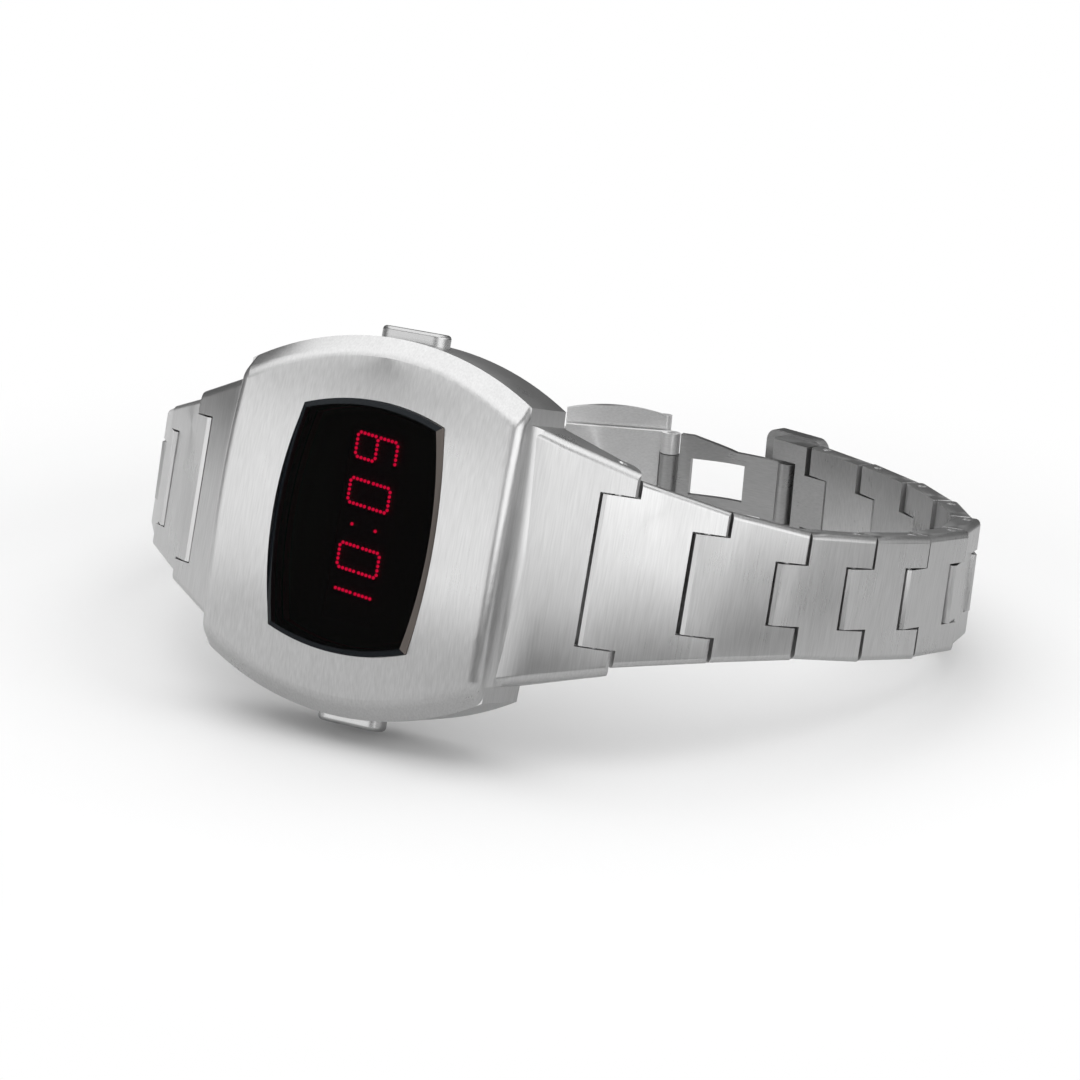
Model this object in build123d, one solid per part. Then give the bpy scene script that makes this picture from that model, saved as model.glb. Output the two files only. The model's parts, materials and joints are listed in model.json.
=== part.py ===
"""LED wristwatch lying on its nine o'clock side, bracelet looped behind, clasp unfolded.

Built in the case frame: X from twelve to six o'clock, Y from the face to the back,
Z from nine to three o'clock, origin on the face. The last step leans the whole watch
back onto the pusher and the bracelet's lower edge and puts it on the ground plane.
All sizes are in millimetres and all angles in degrees.
"""

import math
import os

from build123d import *

# Case
CASE_HALF_LENGTH = 17.35
CASE_HALF_WIDTH = 20.4
CASE_END_CROWN = 0.35
CASE_SIDE_CROWN = 4.7
CASE_CORNER_X = CASE_HALF_LENGTH - CASE_END_CROWN
CASE_CORNER_Z = CASE_HALF_WIDTH - CASE_SIDE_CROWN
EDGE_DEPTH = 3.0
WALL_END_DEPTH = 11.4
RIDGE_INSET = 4.6
RIDGE_SIDE_CROWN = 3.3
RIDGE_HALF_WIDTH = CASE_HALF_WIDTH - RIDGE_INSET
RIDGE_CORNER_Z = RIDGE_HALF_WIDTH - RIDGE_SIDE_CROWN
RIDGE_LIFT = 0.4
DOME_RADIUS = 103.0
RIDGE_FILLET = 2.0
END_ROLL = 1.2
CAVITY_HALF_LENGTH = CASE_HALF_LENGTH - 3.75
CAVITY_HALF_WIDTH = CASE_HALF_WIDTH - 4.8
CAVITY_DEPTH = 3.6
CAVITY_CORNER = 3.0

# Window, crystal and display
WINDOW_HALF_LENGTH = CASE_HALF_LENGTH - 7.5
WINDOW_HALF_WIDTH = CASE_HALF_WIDTH - 6.8
WINDOW_CORNER_X = WINDOW_HALF_LENGTH - 1.4
WINDOW_CORNER_Z = WINDOW_HALF_WIDTH - 1.5
CRYSTAL_GAP = 0.06
CRYSTAL_THICKNESS = 1.9
CRYSTAL_BEVEL_WIDTH = 0.6
CRYSTAL_BEVEL_DEPTH = 0.35
CRYSTAL_SINK = 0.05
GASKET_THICKNESS = 0.3
LEDGE_WIDTH = 0.8
MODULE_GAP = 0.3
MODULE_THICKNESS = 2.2
MODULE_INSET = 0.5
LENS_RECESS_LENGTH = 6.4
LENS_RECESS_WIDTH = WINDOW_HALF_WIDTH * 1.5
LENS_RECESS_DEPTH = 0.3
BOARD_EDGE_GAP = 1.1
BOARD_LENGTH = (CAVITY_HALF_LENGTH - BOARD_EDGE_GAP) * 2
BOARD_WIDTH = (CAVITY_HALF_WIDTH - BOARD_EDGE_GAP) * 2
BOARD_THICKNESS = 1.0
BOARD_GAP = 0.1
BOARD_CORNER = 2.4
BATTERY_RADIUS = 5.8
BATTERY_HEIGHT = 3.6
BATTERY_RIM_WIDTH = 0.7
BATTERY_RIM_DEPTH = 0.3
BATTERY_GAP = 0.15

# Case back and its screws
BACK_INSET = 1.9
BACK_THICKNESS = 1.7
BACK_BEVEL = 0.6
BACK_GASKET_INSET = 0.5
BACK_GASKET_WIDTH = 1.0
BACK_GASKET_THICKNESS = 0.4
BACK_RIM_GAP = 0.05
SCREW_RADIUS = 0.6
SCREW_HEAD_RADIUS = 1.15
SCREW_HEAD_HEIGHT = 0.6
SCREW_LENGTH = 3.6
SCREW_SLOT_WIDTH = 0.3
SCREW_SLOT_DEPTH = 0.3
SCREW_GAP = 0.03
SCREW_X = CAVITY_HALF_LENGTH - 0.2
SCREW_Z = CAVITY_HALF_WIDTH - 4.0
SCREW_HOLE_SPARE = 0.5
SCREW_BOSS_RADIUS = 2.2

# Pushers
PUSHER_LENGTH = 8.0
PUSHER_WIDTH = 3.2
PUSHER_DEPTH = 7.3
PUSHER_PROUD = 1.2
PUSHER_HEIGHT = 2.6
PUSHER_CORNER = 0.45
PUSHER_GAP = 0.08
PUSHER_TRAVEL = 0.7
PUSHER_POCKET_DEPTH = 2.9
STEM_RADIUS = 0.75
STEM_GAP = 0.05
STEM_END = CAVITY_HALF_WIDTH - 1.0
SEAL_RADIUS = 0.3
CONTACT_WIDTH = 2.4
CONTACT_THICKNESS = 0.25
CONTACT_REACH = 1.6
CONTACT_CLEARANCE = 0.2
CONTACT_DROP = 1.2

# Shoulders that carry the bracelet
SHOULDER_ROOT_X = CASE_HALF_LENGTH - 0.75
SHOULDER_ROOT_HALF_WIDTH = CASE_CORNER_Z - 1.6
SHOULDER_END_HALF_WIDTH = 10.5
SHOULDER_SIDE_ROUND = 1.2
SHOULDER_COVE_RADIUS = 2.4
FIRST_PIN_X = CASE_HALF_LENGTH + 7.55
FIRST_PIN_DEPTH = WALL_END_DEPTH - 0.75
SHOULDER_HEADING = 34.0

# Bracelet links
LINK_THICKNESS = 2.9
EAR_REACH = 1.95
SEAM_GAP = 0.2
SIDE_GAP = 0.16
OUTER_CHAMFER = 0.35
SIDE_ROUND = 0.75
PIN_RADIUS = 0.6
PIN_EAR_GAP = 0.015
PIN_TONGUE_GAP = 0.095
PIN_INSET = 0.15
PIN_END_CHAMFER = 0.12
FIRST_PITCH = 10.6
SECOND_PITCH = 10.4
PITCH = 9.8
STRAP_HALF_WIDTH = 7.0
FIRST_END_HALF_WIDTH = 8.2
SECOND_END_HALF_WIDTH = 7.05
FIRST_TONGUE_HALF_WIDTH = 8.1
SECOND_TONGUE_HALF_WIDTH = 5.4
TONGUE_HALF_WIDTH = 3.35

# Bend at each hinge as the watch lies, counted from the case outwards. Those of the
# twelve o'clock strap are a first guess, which closed_strap() adjusts to meet the clasp.
RIGHT_BEND_ANGLES = (8.5, 11.5, 8.5, 9.0, 11.0, 16.5, 21.0, 11.0, 13.0, 8.0)
LEFT_BEND_ANGLES = (8.5, 11.5, 12.0, 14.4, 16.4, 16.5, 14.4, 11.0, 8.0)
END_PIECE_BEND_ANGLE = 10.0
SET_BEND_COUNT = 2
CLOSING_STEPS = 8
CLOSING_NUDGE_ANGLE = 0.01

# Sideways play taken up at each hinge as the case tips back, counted the same way
FIRST_TILT = 0.5
SECOND_TILT = 0.8
RIGHT_TILT = 1.4
LEFT_TILT = 1.43
BLADE_TILT = 11.7

# Headings of the two clasp leaves as the watch lies
BLADE_HEADING = 185.0
BASE_HEADING = 207.0

# Clasp
END_PIECE_LENGTH = 6.3
END_SOLID_SHARE = 0.6
END_COVER_REACH = 5.0
END_COVER_THICKNESS = 1.7
END_COVER_LIFT = 0.2
END_COVER_HALF_WIDTH = 7.4
END_COVER_CORNER = 1.6
BLADE_LENGTH = 16.0
BLADE_THICKNESS = 0.9
BLADE_HALF_WIDTH = 3.9
BLADE_WIDE_HALF_WIDTH = 5.4
BLADE_WINDOW_HALF_WIDTH = 2.4
BLADE_WINDOW_START = 2.9
BLADE_WINDOW_LENGTH = 7.2
BLADE_SWING = 0.7
BLADE_CURVE_SHARES = ((0.2, 0.15), (0.45, 1.0), (0.7, 0.5))
BLADE_CURVE_STEPS = 12
BLADE_NARROW_SHARE = 0.55
LEAF_LIFT = 0.6
BARREL_RADIUS = 1.2
BARREL_SIDE_GAP = 0.12
OPEN_BARREL_SIDE_GAP = 0.6
CLASP_PIN_RADIUS = 0.55
CLASP_PIN_GAP = 0.05
BASE_LENGTH = 16.0
BASE_THICKNESS = 0.9
BASE_HALF_WIDTH = 5.4
BASE_TONGUE_HALF_WIDTH = 3.0
BASE_KNUCKLE_HALF_WIDTH = 2.6
STUD_RADIUS = 0.95
STUD_HEIGHT = 1.0
STUD_FROM_BLADE = 6.9
STUD_SHANK_RADIUS = 0.5
STUD_GAP = 0.02
CLASP_COVER_LENGTH = 15.2
CLASP_COVER_THICKNESS = 1.0
CLASP_COVER_HALF_WIDTH = 7.2
CLASP_COVER_BULGE = 0.8
CLASP_COVER_LIFT = 0.3
CLASP_COVER_LIP_RADIUS = 0.85
CLASP_COVER_LUG_WIDTH = 1.5
CLASP_COVER_WIDEST_SHARE = 0.4

# How the watch rests
REST_LOW_CASE_Z = CASE_HALF_WIDTH + PUSHER_PROUD
OVERRUN = 1.0

# How edges are told apart: nearly as far out, or as well lined up, as the most
NEARLY_SHARE = 0.9
PARTLY_SHARE = 0.5


def direction(heading):
    """Unit vector of a bracelet heading, turned from +X towards +Y."""
    turn = math.radians(heading)
    return Vector(math.cos(turn), math.sin(turn), 0)


def running_headings(bends):
    """Headings of the links that follow the shoulder, one per bend."""
    headings = []
    heading = SHOULDER_HEADING
    for bend in bends:
        heading += bend
        headings.append(heading)
    return headings


def pitches(count):
    """Pin spacing of each link, the two tapered ones first."""
    return [FIRST_PITCH, SECOND_PITCH] + [PITCH] * (count - 2)


def running_tilts(count, tilt):
    """Tilt about X of each link, the sum of the play at the hinges before it."""
    tilts = []
    total = 0
    for step in [FIRST_TILT, SECOND_TILT] + [tilt] * (count - 2):
        total += step
        tilts.append(total)
    return tilts


def hinge_plane(place, heading, tilt=0):
    """Plane of a piece drawn along its own X from a hinge, its outer face at +Z."""
    return Plane(
        origin=place,
        x_dir=direction(heading).rotate(Axis.X, tilt),
        z_dir=direction(heading - 90).rotate(Axis.X, tilt),
    )


def moved_along(plane, distance):
    """The same plane, its origin moved along the piece."""
    return Plane(origin=plane.origin + plane.x_dir * distance, x_dir=plane.x_dir,
                 z_dir=plane.z_dir)


def strap_planes(bends, tilt):
    """Planes of the shoulder's end and of each link of the six o'clock strap."""
    planes = [hinge_plane(Vector(FIRST_PIN_X, FIRST_PIN_DEPTH, 0), SHOULDER_HEADING)]
    place = planes[0].origin
    rows = zip(pitches(len(bends)), running_headings(bends), running_tilts(len(bends), tilt))
    for pitch, heading, link_tilt in rows:
        plane = hinge_plane(place, heading, link_tilt)
        planes.append(plane)
        place = moved_along(plane, pitch).origin
    return planes


def across_case(plane):
    """The same plane on the twelve o'clock strap, mirrored about the case."""
    flip = [Vector(-v.X, v.Y, v.Z) for v in (plane.origin, plane.x_dir, plane.z_dir)]
    return Plane(origin=flip[0], x_dir=flip[1], z_dir=flip[2])


def placed(shape, plane):
    """Move a piece drawn along its own X, with its outer face at +Z, to its plane."""
    return plane.location * shape


def cushion(corner_x, corner_z, half_length, half_width, depth):
    """Closed wire of the cushion outline, four arcs through the side middles."""
    corners = [
        (corner_x, depth, -corner_z),
        (corner_x, depth, corner_z),
        (-corner_x, depth, corner_z),
        (-corner_x, depth, -corner_z),
    ]
    middles = [
        (half_length, depth, 0),
        (0, depth, half_width),
        (-half_length, depth, 0),
        (0, depth, -half_width),
    ]
    arcs = []
    for index, middle in enumerate(middles):
        arcs.append(ThreePointArc(corners[index], middle, corners[(index + 1) % len(corners)]))
    return Wire(arcs)


def bow_radius(half_chord, crown):
    """Radius of an arc from half its chord and its crown."""
    return (half_chord**2 + crown**2) / (crown * 2)


def bow_drop(radius, run):
    """How far an arc has fallen below its middle at a distance from it."""
    return radius - math.sqrt(radius**2 - run**2)


def cushion_block(sizes, start, end):
    """Solid with the cushion outline between two depths."""
    face = Face(cushion(*sizes, start))
    return extrude(face, amount=end - start, dir=(0, 1, 0))


def shrunk(sizes, inset):
    """Cushion sizes with every side moved in by the same amount."""
    return tuple(size - inset for size in sizes)


CASE_SIZES = (CASE_CORNER_X, CASE_CORNER_Z, CASE_HALF_LENGTH, CASE_HALF_WIDTH)
WINDOW_SIZES = (WINDOW_CORNER_X, WINDOW_CORNER_Z, WINDOW_HALF_LENGTH, WINDOW_HALF_WIDTH)
LEDGE_DEPTH = CRYSTAL_SINK + CRYSTAL_THICKNESS + GASKET_THICKNESS
BACK_SEAT_DEPTH = WALL_END_DEPTH
MODULE_DEPTH = LEDGE_DEPTH + MODULE_GAP
BOARD_DEPTH = MODULE_DEPTH + MODULE_THICKNESS + BOARD_GAP
NOTCH_REACH = EAR_REACH + SEAM_GAP
HALF_THICKNESS = LINK_THICKNESS / 2
END_BOW_RADIUS = bow_radius(CASE_CORNER_Z, CASE_END_CROWN)


def box_between(low, high):
    """Axis-aligned box from its lowest to its highest corner."""
    size = [b - a for a, b in zip(low, high)]
    middle = [(a + b) / 2 for a, b in zip(low, high)]
    return Pos(*middle) * Box(*size)


def rounded_block(length, width, corner, start, end):
    """Rounded rectangle in X and Z, between two depths."""
    sketch = Plane.XZ * RectangleRounded(length, width, corner)
    return Pos(0, start, 0) * extrude(sketch, amount=start - end)


def rod(radius, start, end, x=0, z=0):
    """Round rod along Y between two depths."""
    return Pos(x, (start + end) / 2, z) * Rot(90, 0, 0) * Cylinder(radius, end - start)


def stadium(length, width, low, high):
    """Stadium in X and Y at the pusher's depth, between two heights along Z."""
    sketch = Pos(0, PUSHER_DEPTH, low) * SlotOverall(length, width)
    return extrude(sketch, amount=high - low)


def pin(radius, half_length, chamfer_size):
    """Pin along its own Y, its ends lightly chamfered."""
    body = Rot(90, 0, 0) * Cylinder(radius, half_length * 2)
    return chamfer(body.edges().filter_by(GeomType.CIRCLE), chamfer_size)


def bore_across(radius, x, half_length):
    """Cutter for a pin hole along the piece's own Y."""
    return Pos(x, 0, 0) * Rot(90, 0, 0) * Cylinder(radius, half_length * 2)


def side_profile(start, end):
    """Side view of a link, flat outside and round about each pin inside."""
    drop = math.sqrt(EAR_REACH**2 - HALF_THICKNESS**2)
    near = start - EAR_REACH
    far = end + EAR_REACH
    line = [
        Line((near, 0), (near, HALF_THICKNESS - OUTER_CHAMFER)),
        Line((near, HALF_THICKNESS - OUTER_CHAMFER), (near + OUTER_CHAMFER, HALF_THICKNESS)),
        Line((near + OUTER_CHAMFER, HALF_THICKNESS), (far - OUTER_CHAMFER, HALF_THICKNESS)),
        Line((far - OUTER_CHAMFER, HALF_THICKNESS), (far, HALF_THICKNESS - OUTER_CHAMFER)),
        Line((far, HALF_THICKNESS - OUTER_CHAMFER), (far, 0)),
        ThreePointArc(
            (far, 0),
            (end + EAR_REACH * math.cos(math.asin(HALF_THICKNESS / EAR_REACH) / 2),
             -EAR_REACH * math.sin(math.asin(HALF_THICKNESS / EAR_REACH) / 2)),
            (end + drop, -HALF_THICKNESS),
        ),
        Line((end + drop, -HALF_THICKNESS), (start - drop, -HALF_THICKNESS)),
        ThreePointArc(
            (start - drop, -HALF_THICKNESS),
            (start - EAR_REACH * math.cos(math.asin(HALF_THICKNESS / EAR_REACH) / 2),
             -EAR_REACH * math.sin(math.asin(HALF_THICKNESS / EAR_REACH) / 2)),
            (near, 0),
        ),
    ]
    return make_face(line)


def slab_from_side(start, end, half_width):
    """Side profile carried across the whole width of a link."""
    face = Plane.XZ * side_profile(start, end)
    return Pos(0, half_width, 0) * extrude(face, amount=half_width * 2)


def plan_block(points):
    """Plan outline given for one half, mirrored across the strap's middle line."""
    outline = points + [(x, -y) for x, y in reversed(points)]
    return extrude(Pos(0, 0, -LINK_THICKNESS) * make_face(Polyline(*outline, close=True)),
                   amount=LINK_THICKNESS * 2)


def side_round(solid, size):
    """Round the outer edges that run along the strap's two sides."""
    top = solid.faces().sort_by(Axis.Z)[-1]
    reach = max(abs(edge.center().Y) for edge in top.edges())
    runs = [
        edge
        for edge in top.edges()
        if abs(edge.center().Y) > reach * NEARLY_SHARE
        and abs(edge.tangent_at(PARTLY_SHARE).X) > NEARLY_SHARE
    ]
    return fillet(runs, size) if runs else solid


def link(pitch, half_start, half_end, tongue, notch):
    """One bracelet link: tongue about the near pin, two ears about the far pin."""
    plan = plan_block([
        (-EAR_REACH, tongue),
        (NOTCH_REACH, tongue),
        (NOTCH_REACH, half_start),
        (pitch + EAR_REACH, half_end),
        (pitch + EAR_REACH, notch + SIDE_GAP),
        (pitch - NOTCH_REACH, notch + SIDE_GAP),
    ])
    wide = max(half_start, half_end)
    solid = plan & slab_from_side(0, pitch, wide + OVERRUN)
    solid = side_round(solid, SIDE_ROUND)
    solid -= bore_across(PIN_RADIUS + PIN_TONGUE_GAP, 0, wide + OVERRUN)
    solid -= bore_across(PIN_RADIUS + PIN_EAR_GAP, pitch, wide + OVERRUN)
    return solid


def strap_widths(count):
    """Half widths at each link's ends, its tongue, and the notch for the next one."""
    rows = [
        (FIRST_PITCH, SHOULDER_END_HALF_WIDTH, FIRST_END_HALF_WIDTH,
         FIRST_TONGUE_HALF_WIDTH, SECOND_TONGUE_HALF_WIDTH),
        (SECOND_PITCH, FIRST_END_HALF_WIDTH, SECOND_END_HALF_WIDTH,
         SECOND_TONGUE_HALF_WIDTH, TONGUE_HALF_WIDTH),
    ]
    for _ in range(count - 2):
        rows.append((PITCH, STRAP_HALF_WIDTH, STRAP_HALF_WIDTH,
                     TONGUE_HALF_WIDTH, TONGUE_HALF_WIDTH))
    return rows


def shoulder_blank(half_notch):
    """Shoulder on the six o'clock side, before it is joined to the case."""
    end_plane = hinge_plane(Vector(FIRST_PIN_X, FIRST_PIN_DEPTH, 0), SHOULDER_HEADING)
    first_pin = end_plane.origin
    along = end_plane.x_dir
    outward = end_plane.z_dir
    tip = first_pin + along * EAR_REACH
    outer_tip = tip + outward * (HALF_THICKNESS - OUTER_CHAMFER)
    outer_run = first_pin + along * (EAR_REACH - OUTER_CHAMFER) + outward * HALF_THICKNESS
    root_run = (SHOULDER_ROOT_X - outer_run.X) / along.X
    outer_root = outer_run + along * root_run
    inner_corner = first_pin - outward * HALF_THICKNESS
    corner_angle = math.asin(HALF_THICKNESS / EAR_REACH)
    inner_tip = (first_pin + along * (EAR_REACH * math.cos(corner_angle))
                 - outward * HALF_THICKNESS)
    middle_tip = (first_pin + along * (EAR_REACH * math.cos(corner_angle / 2))
                  - outward * (EAR_REACH * math.sin(corner_angle / 2)))
    lines = [
        Line(outer_root, outer_run),
        Line(outer_run, outer_tip),
        Line(outer_tip, tip),
        ThreePointArc(tip, middle_tip, inner_tip),
        Line(inner_tip, inner_corner),
        Line(inner_corner, (SHOULDER_ROOT_X, WALL_END_DEPTH)),
        Line((SHOULDER_ROOT_X, WALL_END_DEPTH), outer_root),
    ]
    side = make_face(lines)
    reach = SHOULDER_ROOT_HALF_WIDTH + OVERRUN
    slab = extrude(Pos(0, 0, -reach) * side, amount=reach * 2)
    plan_points = [
        (SHOULDER_ROOT_X, SHOULDER_ROOT_HALF_WIDTH),
        (outer_tip.X + OVERRUN, SHOULDER_END_HALF_WIDTH),
        (outer_tip.X + OVERRUN, -SHOULDER_END_HALF_WIDTH),
        (SHOULDER_ROOT_X, -SHOULDER_ROOT_HALF_WIDTH),
    ]
    plan_face = Plane.XZ * make_face(Polyline(*plan_points, close=True))
    deep = WALL_END_DEPTH + LINK_THICKNESS
    plan = Pos(0, deep, 0) * extrude(plan_face, amount=deep * 2)
    solid = slab & plan
    runs = [
        edge
        for edge in solid.edges().filter_by(GeomType.LINE)
        if abs(edge.center().Z) > SHOULDER_END_HALF_WIDTH * NEARLY_SHARE
        and edge.center().Y < FIRST_PIN_DEPTH - LINK_THICKNESS
        and abs(edge.tangent_at(PARTLY_SHARE).X) > PARTLY_SHARE
    ]
    solid = fillet(runs, SHOULDER_SIDE_ROUND)
    notch = placed(
        box_between(
            (-NOTCH_REACH, -half_notch, -LINK_THICKNESS),
            (NOTCH_REACH + OVERRUN, half_notch, LINK_THICKNESS),
        ),
        end_plane,
    )
    return solid - notch + (shoulder_cove(outer_run, along, outward) & plan)


def shoulder_cove(outer_run, along, outward):
    """Concave blend from the case's end wall to the shoulder's outer face."""
    radius = SHOULDER_COVE_RADIUS
    centre_x = CASE_HALF_LENGTH + radius
    on_face = outer_run + along * ((centre_x - outer_run.X) / along.X)
    centre = Vector(centre_x, on_face.Y - radius / abs(outward.Y), 0)
    wall_touch = centre - Vector(radius, 0, 0)
    face_touch = centre - outward * radius
    middle = centre - (Vector(1, 0, 0) + outward).normalized() * radius
    face_root = face_touch - outward * HALF_THICKNESS
    side = make_face([
        ThreePointArc(wall_touch, middle, face_touch),
        Line(face_touch, face_root),
        Line(face_root, (SHOULDER_ROOT_X, face_root.Y)),
        Line((SHOULDER_ROOT_X, face_root.Y), (SHOULDER_ROOT_X, wall_touch.Y)),
        Line((SHOULDER_ROOT_X, wall_touch.Y), wall_touch),
    ])
    axis = Axis((CASE_HALF_LENGTH - END_BOW_RADIUS, 0, 0), (0, 1, 0))
    half_turn = math.degrees(math.asin(CASE_HALF_WIDTH / END_BOW_RADIUS))
    return revolve(side.rotate(axis, -half_turn), axis, half_turn * 2)


def pushed_away(shape, side):
    """Turn a pusher-side piece drawn at three o'clock to the asked side."""
    return shape if side > 0 else mirror(shape, about=Plane.XY)


def pusher_pocket():
    """Pocket and stem bore of one pusher, at three o'clock."""
    floor = CASE_HALF_WIDTH - PUSHER_POCKET_DEPTH
    pocket = stadium(PUSHER_LENGTH + PUSHER_GAP * 2, PUSHER_WIDTH + PUSHER_GAP * 2,
                     floor, CASE_HALF_WIDTH + OVERRUN)
    bore_low = CAVITY_HALF_WIDTH - OVERRUN
    bore = Pos(0, PUSHER_DEPTH, (bore_low + floor) / 2 + OVERRUN / 2) * Cylinder(
        STEM_RADIUS + STEM_GAP, floor - bore_low + OVERRUN)
    return pocket + bore


def pusher():
    """Stadium push button with its stem, at three o'clock."""
    top = CASE_HALF_WIDTH + PUSHER_PROUD
    cap = stadium(PUSHER_LENGTH, PUSHER_WIDTH, top - PUSHER_HEIGHT, top)
    cap = fillet(cap.faces().sort_by(Axis.Z)[-1].edges(), PUSHER_CORNER)
    stem_top = top - PUSHER_HEIGHT / 2
    stem = Pos(0, PUSHER_DEPTH, (STEM_END + stem_top) / 2) * Cylinder(
        STEM_RADIUS, stem_top - STEM_END)
    return cap + stem


def stem_seal():
    """Rubber ring round a pusher stem, on the floor of its pocket."""
    floor = CASE_HALF_WIDTH - PUSHER_POCKET_DEPTH
    return Pos(0, PUSHER_DEPTH, floor + SEAL_RADIUS) * Torus(
        STEM_RADIUS + STEM_GAP + SEAL_RADIUS, SEAL_RADIUS)


def contact_spring():
    """Bent leaf that a pusher stem presses, standing on the circuit board."""
    face_z = STEM_END - PUSHER_TRAVEL - CONTACT_CLEARANCE
    half = CONTACT_WIDTH / 2
    foot = box_between(
        (-half, BOARD_DEPTH + BOARD_THICKNESS, face_z - CONTACT_REACH),
        (half, BOARD_DEPTH + BOARD_THICKNESS + CONTACT_THICKNESS, face_z))
    blade = box_between(
        (-half, BOARD_DEPTH + BOARD_THICKNESS, face_z - CONTACT_THICKNESS),
        (half, PUSHER_DEPTH + CONTACT_DROP, face_z))
    return foot + blade


def end_walls(start, end):
    """Block between the two bowed end walls, wider than the case."""
    reach = CASE_HALF_WIDTH
    x = CASE_HALF_LENGTH - bow_drop(END_BOW_RADIUS, reach)
    corners = [(x, start, -reach), (x, start, reach), (-x, start, reach), (-x, start, -reach)]
    outline = Wire([
        ThreePointArc(corners[0], (CASE_HALF_LENGTH, start, 0), corners[1]),
        Line(corners[1], corners[2]),
        ThreePointArc(corners[2], (-CASE_HALF_LENGTH, start, 0), corners[3]),
        Line(corners[3], corners[0]),
    ])
    return extrude(Face(outline), amount=end - start, dir=(0, 1, 0))


def long_cushion(half_width, side_crown, depth):
    """Cushion outline whose two long sides run on past the case's ends."""
    x = CASE_HALF_LENGTH + OVERRUN
    corner_z = half_width - bow_drop(bow_radius(CASE_CORNER_X, side_crown), x)
    return Face(cushion(x, corner_z, x + OVERRUN, half_width, depth))


def crown():
    """Domed front with its two sloping sides, all front edges rolled over."""
    ridge = loft([
        long_cushion(CASE_HALF_WIDTH, CASE_SIDE_CROWN, EDGE_DEPTH),
        long_cushion(RIDGE_HALF_WIDTH, RIDGE_SIDE_CROWN, -RIDGE_LIFT),
    ], ruled=True)
    dome = Pos(0, DOME_RADIUS, 0) * Rot(0, 90, 0) * Cylinder(DOME_RADIUS, CASE_HALF_LENGTH * 4)
    solid = ridge & dome
    ridges = [
        edge
        for edge in solid.edges()
        if edge.center().Y < EDGE_DEPTH * NEARLY_SHARE
        and abs(edge.center().Z) > RIDGE_CORNER_Z
        and abs(edge.center().X) < OVERRUN
    ]
    solid = fillet(ridges, RIDGE_FILLET) & end_walls(-OVERRUN, EDGE_DEPTH)
    rims = [
        edge
        for edge in solid.edges()
        if abs(edge.center().X) > CASE_CORNER_X - RIDGE_LIFT
        and edge.center().Y < EDGE_DEPTH - RIDGE_LIFT
    ]
    return fillet(rims, END_ROLL)


def case_body():
    """Cushion case with its window, cavity, pusher pockets and shoulders."""
    body = cushion_block(CASE_SIZES, EDGE_DEPTH, WALL_END_DEPTH) + crown()
    blank = shoulder_blank(FIRST_TONGUE_HALF_WIDTH + SIDE_GAP)
    body += blank
    body += mirror(blank, about=Plane.YZ)
    body -= rounded_block(CAVITY_HALF_LENGTH * 2, CAVITY_HALF_WIDTH * 2, CAVITY_CORNER,
                          CAVITY_DEPTH, WALL_END_DEPTH + OVERRUN)
    body -= cushion_block(WINDOW_SIZES, -OVERRUN, LEDGE_DEPTH)
    body -= cushion_block(shrunk(WINDOW_SIZES, LEDGE_WIDTH), 0, CAVITY_DEPTH + OVERRUN)
    for x in (SCREW_X, -SCREW_X):
        for z in (SCREW_Z, -SCREW_Z):
            body += rod(SCREW_BOSS_RADIUS, CAVITY_DEPTH, WALL_END_DEPTH, x, z)
            body -= rod(SCREW_RADIUS + SCREW_GAP, WALL_END_DEPTH - SCREW_LENGTH,
                        WALL_END_DEPTH + OVERRUN, x, z)
    for side in (1, -1):
        body -= pushed_away(pusher_pocket(), side)
    for side in (1, -1):
        body -= Pos(side * FIRST_PIN_X, FIRST_PIN_DEPTH, 0) * Cylinder(
            PIN_RADIUS + PIN_EAR_GAP, CASE_HALF_WIDTH * 2)
    return body


def crystal():
    """Dark crystal with a bevelled edge, flush in the window."""
    sizes = shrunk(WINDOW_SIZES, CRYSTAL_GAP)
    block = cushion_block(sizes, CRYSTAL_SINK, CRYSTAL_SINK + CRYSTAL_THICKNESS)
    front = block.faces().sort_by(Axis.Y)[0]
    return chamfer(front.edges(), CRYSTAL_BEVEL_DEPTH, CRYSTAL_BEVEL_WIDTH)


def crystal_gasket():
    """Flat ring between the crystal and its ledge."""
    start = CRYSTAL_SINK + CRYSTAL_THICKNESS
    outer = cushion_block(shrunk(WINDOW_SIZES, CRYSTAL_GAP), start, LEDGE_DEPTH)
    return outer - cushion_block(shrunk(WINDOW_SIZES, LEDGE_WIDTH), start - OVERRUN,
                                 LEDGE_DEPTH + OVERRUN)


def led_module():
    """Display block behind the crystal, with the recess for its digits."""
    sizes = shrunk(WINDOW_SIZES, LEDGE_WIDTH + MODULE_INSET)
    block = cushion_block(sizes, MODULE_DEPTH, MODULE_DEPTH + MODULE_THICKNESS)
    half_length = LENS_RECESS_LENGTH / 2
    half_width = LENS_RECESS_WIDTH / 2
    return block - box_between(
        (-half_length, MODULE_DEPTH - OVERRUN, -half_width),
        (half_length, MODULE_DEPTH + LENS_RECESS_DEPTH, half_width))


def circuit_board():
    """Board that carries the display block and the contact springs."""
    return rounded_block(BOARD_LENGTH, BOARD_WIDTH, BOARD_CORNER, BOARD_DEPTH,
                         BOARD_DEPTH + BOARD_THICKNESS) - screw_reliefs()


def screw_reliefs():
    """Room for the four screw bosses at the corners of the board."""
    reliefs = []
    for x in (SCREW_X, -SCREW_X):
        for z in (SCREW_Z, -SCREW_Z):
            reliefs.append(rod(SCREW_BOSS_RADIUS + BOARD_GAP, CAVITY_DEPTH, WALL_END_DEPTH, x, z))
    return Compound(reliefs)


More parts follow.
